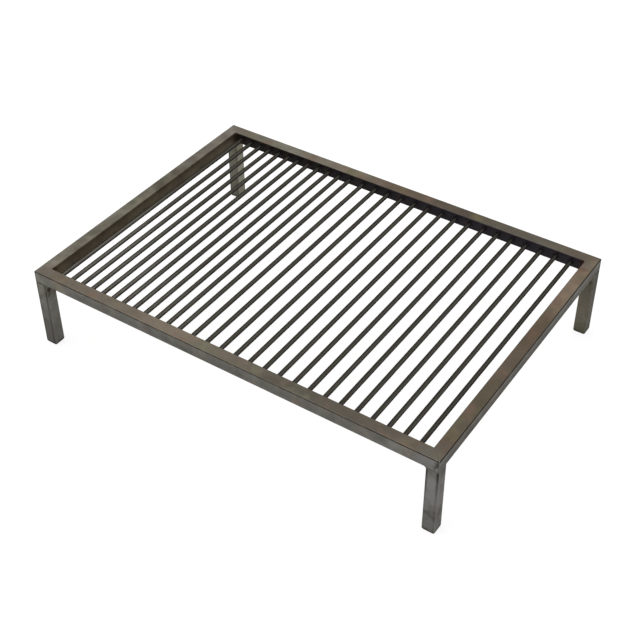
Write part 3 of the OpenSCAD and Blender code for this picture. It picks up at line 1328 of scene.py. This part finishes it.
@dataclass
class Bars:
    """The rods that bear the cooking pots, with the beads under their ends."""

    count: int = 28
    around: int = 28
    along: int = 44
    arc: int = 40
    bow: float = 0.25 * MM
    rough: float = 0.03 * MM
    chamfer: float = 0.4 * MM
    bead: Bead = Bead(2.0 * MM, 2.0 * MM, ripple=1.1 * MM)

    def rod(self, number: int) -> bpy.types.Object:
        """Builds a rod, a little bowed and uneven as hot-rolled bar is.

        Args:
            number: Its number, from the left.

        Returns:
            The rod's object.
        """
        node = f"rod_{number:02d}"
        low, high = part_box(node)
        middle, radius = (low + high) / 2, (high.x - low.x) / 2
        lean = number * GOLDEN_TURN
        rings = []
        for step in range(self.along + 1):
            share = step / self.along
            y = low.y + (high.y - low.y) * share
            bend = self.bow * math.sin(math.pi * share) * math.sin(number * 1.7)
            centre = Vector((middle.x + bend * math.cos(lean), y, middle.z + bend * math.sin(lean)))
            fit = radius - (self.chamfer if step in (0, self.along) else 0.0)
            ring = []
            for turn in range(self.around):
                angle = math.tau * turn / self.around
                way = Vector((math.cos(angle), 0.0, math.sin(angle)))
                uneven = self.rough * noise.noise(Vector((angle, y * 30.0, number)))
                ring.append(centre + way * (fit - abs(uneven)))
            rings.append(ring)
        shell = Shell()
        shell.loft(rings)
        return shell.piece(f"{node}_bar", Slot.ROD, (node,))

    def end_welds(self, rear: bool) -> bpy.types.Object:
        """Builds the beads under one end of every rod.

        Args:
            rear: Builds those at the rear rail, not the front one.

        Returns:
            The beads' object.
        """
        side = 1 if rear else -1
        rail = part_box("rear_rail")[0].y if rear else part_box("front_rail")[1].y
        shell = Shell()
        for number in range(1, self.count + 1):
            low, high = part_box(f"rod_{number:02d}")
            middle, radius = (low + high) / 2, (high.x - low.x) / 2
            path, outs = [], []
            for step in range(self.arc + 1):
                angle = math.pi + math.pi * step / self.arc
                way = Vector((math.cos(angle), 0.0, math.sin(angle)))
                path.append(Vector((middle.x, rail, middle.z)) + way * radius)
                outs.append(way)
            inward = Vector((0, -side, 0))
            self.bead.lay(shell, path, outs, [inward] * len(path))
        place = "rear" if rear else "front"
        return shell.piece(f"{place}_rod_weld_beads", Slot.WELD, (f"{place}_rod_welds",))

    def build(self) -> None:
        """Builds and dresses the rods and their beads."""
        steel = RodFinish(
            "Rod steel", scale=shade(51, 49, 44), highlight_tone=shade(92, 89, 81), bright=shade(118, 115, 107)
        )
        for number in range(1, self.count + 1):
            made = self.rod(number)
            steel.dress(made)
            LOG.info("%s", made.name)
        burnt = WeldFinish(
            "Burnt weld bead", body=shade(52, 47, 48), stain=shade(40, 34, 32), ground=shade(52, 47, 48)
        )
        for rear in (False, True):
            made = self.end_welds(rear)
            burnt.dress(made)
            LOG.info("%s", made.name)


@dataclass(frozen=True)
class SoftBox:
    """A large studio light that looks at the grate."""

    name: str
    place: tuple[float, float, float]
    size: float
    power: float

    def hang(self, aim: Vector) -> None:
        """Puts the light up.

        Args:
            aim: The point that it looks at.
        """
        data = bpy.data.lights.new(self.name, "AREA")
        data.shape = "DISK"
        data.size = self.size
        data.energy = self.power
        made = bpy.data.objects.new(self.name, data)
        bpy.context.scene.collection.objects.link(made)
        made.location = self.place
        made.rotation_mode = "QUATERNION"
        made.rotation_quaternion = (Vector(self.place) - aim).to_track_quat("Z", "Y")


@dataclass
class Studio:
    """Floor, light and camera round the grate."""

    lights: tuple[SoftBox, ...] = (
        SoftBox("Back softbox", (-2.0, 3.6, 3.4), 3.6, 25.0),
        SoftBox("Overhead softbox", (-0.8, -0.2, 3.2), 3.0, 65.0),
        SoftBox("Left fill", (-3.0, -2.2, 1.6), 2.4, 27.0),
    )
    azimuth: float = 33.937
    elevation: float = 38.970
    roll: float = -0.269
    stand_off: tuple[float, float, float] = (0.8074, -1.1978, 1.1390)
    air_light: float = 1.25
    air_seen: float = 1.05
    floor_rings: tuple[float, ...] = (0.4, 1.0, 2.5, 6.0, 14.0)
    floor_steps: int = 48
    lens: float = 68.4
    lift: float = -0.0625

    def floor(self) -> None:
        """Lays a pale floor that only its upper side shows."""
        count = self.floor_steps
        turns = [math.tau * step / count for step in range(count)]
        points = [(0.0, 0.0, 0.0)]
        for reach in self.floor_rings:
            points.extend((reach * math.cos(turn), reach * math.sin(turn), 0.0) for turn in turns)
        faces = [(0, 1 + step, 1 + (step + 1) % count) for step in range(count)]
        for row in range(len(self.floor_rings) - 1):
            low, high = 1 + row * count, 1 + (row + 1) * count
            for step in range(count):
                after = (step + 1) % count
                faces.append((low + step, high + step, high + after, low + after))
        mesh = bpy.data.meshes.new("Studio_floor")
        mesh.from_pydata(points, [], faces)
        mesh.materials.append(self.floor_paint())
        made = bpy.data.objects.new("Studio_floor", mesh)
        bpy.context.scene.collection.objects.link(made)
        made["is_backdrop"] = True

    def floor_paint(self) -> bpy.types.Material:
        """Makes pale paint that the camera sees evened out to near white, and not at all from below.

        Returns:
            The material.
        """
        made = bpy.data.materials.new("Pale floor")
        made.use_nodes = True
        graph = Graph(made.node_tree)
        paint = graph.node("ShaderNodeBsdfDiffuse")
        paint.inputs["Color"].default_value = (0.93, 0.93, 0.92, 1.0)
        glow = graph.node("ShaderNodeEmission")
        glow.inputs["Strength"].default_value = 0.98
        clear = graph.node("ShaderNodeBsdfTransparent")
        path = graph.node("ShaderNodeLightPath")
        under = graph.node("ShaderNodeNewGeometry")
        even = graph.blend(0.15, glow.outputs[0], paint.outputs[0])
        shown = graph.blend(path.outputs["Is Camera Ray"], paint.outputs[0], even)
        graph.output("Material", graph.blend(under.outputs["Backfacing"], shown, clear.outputs[0]))
        return made

    def air(self) -> None:
        """Lights the room evenly, and shows the camera a plainer white."""
        world = bpy.data.worlds.new("Studio air")
        world.use_nodes = True
        graph = Graph(world.node_tree)
        glows = []
        for strength in (self.air_light, self.air_seen):
            glow = graph.node("ShaderNodeBackground")
            glow.inputs["Color"].default_value = (1.0, 1.0, 1.0, 1.0)
            glow.inputs["Strength"].default_value = strength
            glows.append(glow.outputs[0])
        path = graph.node("ShaderNodeLightPath")
        graph.output("World", graph.blend(path.outputs["Is Camera Ray"], *glows))
        bpy.context.scene.world = world

    def camera(self) -> None:
        """Puts the camera to the right of the front, looking down on the grate."""
        low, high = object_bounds()
        top = Vector(((low.x + high.x) / 2, (low.y + high.y) / 2, high.z))
        data = bpy.data.cameras.new("Camera")
        data.lens = self.lens
        data.sensor_width = 36.0
        data.shift_y = self.lift
        made = bpy.data.objects.new("Camera", data)
        bpy.context.scene.collection.objects.link(made)
        azimuth, elevation, roll = (math.radians(a) for a in (self.azimuth, self.elevation, self.roll))
        back = Vector((
            math.sin(azimuth) * math.cos(elevation),
            -math.cos(azimuth) * math.cos(elevation),
            math.sin(elevation),
        ))
        right = Vector((0, 0, 1)).cross(back).normalized()
        up = back.cross(right)
        side = right * math.cos(roll) + up * math.sin(roll)
        over = up * math.cos(roll) - right * math.sin(roll)
        turned = Matrix((side, over, back)).transposed().to_4x4()
        made.matrix_world = Matrix.Translation(top + Vector(self.stand_off)) @ turned
        bpy.context.scene.camera = made

    def build(self) -> None:
        """Sets up the whole studio."""
        self.floor()
        self.air()
        for light in self.lights:
            light.hang(Vector((0.0, 0.0, 0.1)))
            LOG.info("%s", light.name)
        self.camera()
        bpy.context.scene.view_settings.view_transform = "Standard"


def main() -> None:
    """Builds the grate and its studio."""
    logging.basicConfig(level=logging.INFO, format="%(message)s")
    Frame().dress()
    Legs().build()
    Bars().build()
    Studio().build()


if __name__ == "__main__":
    main()
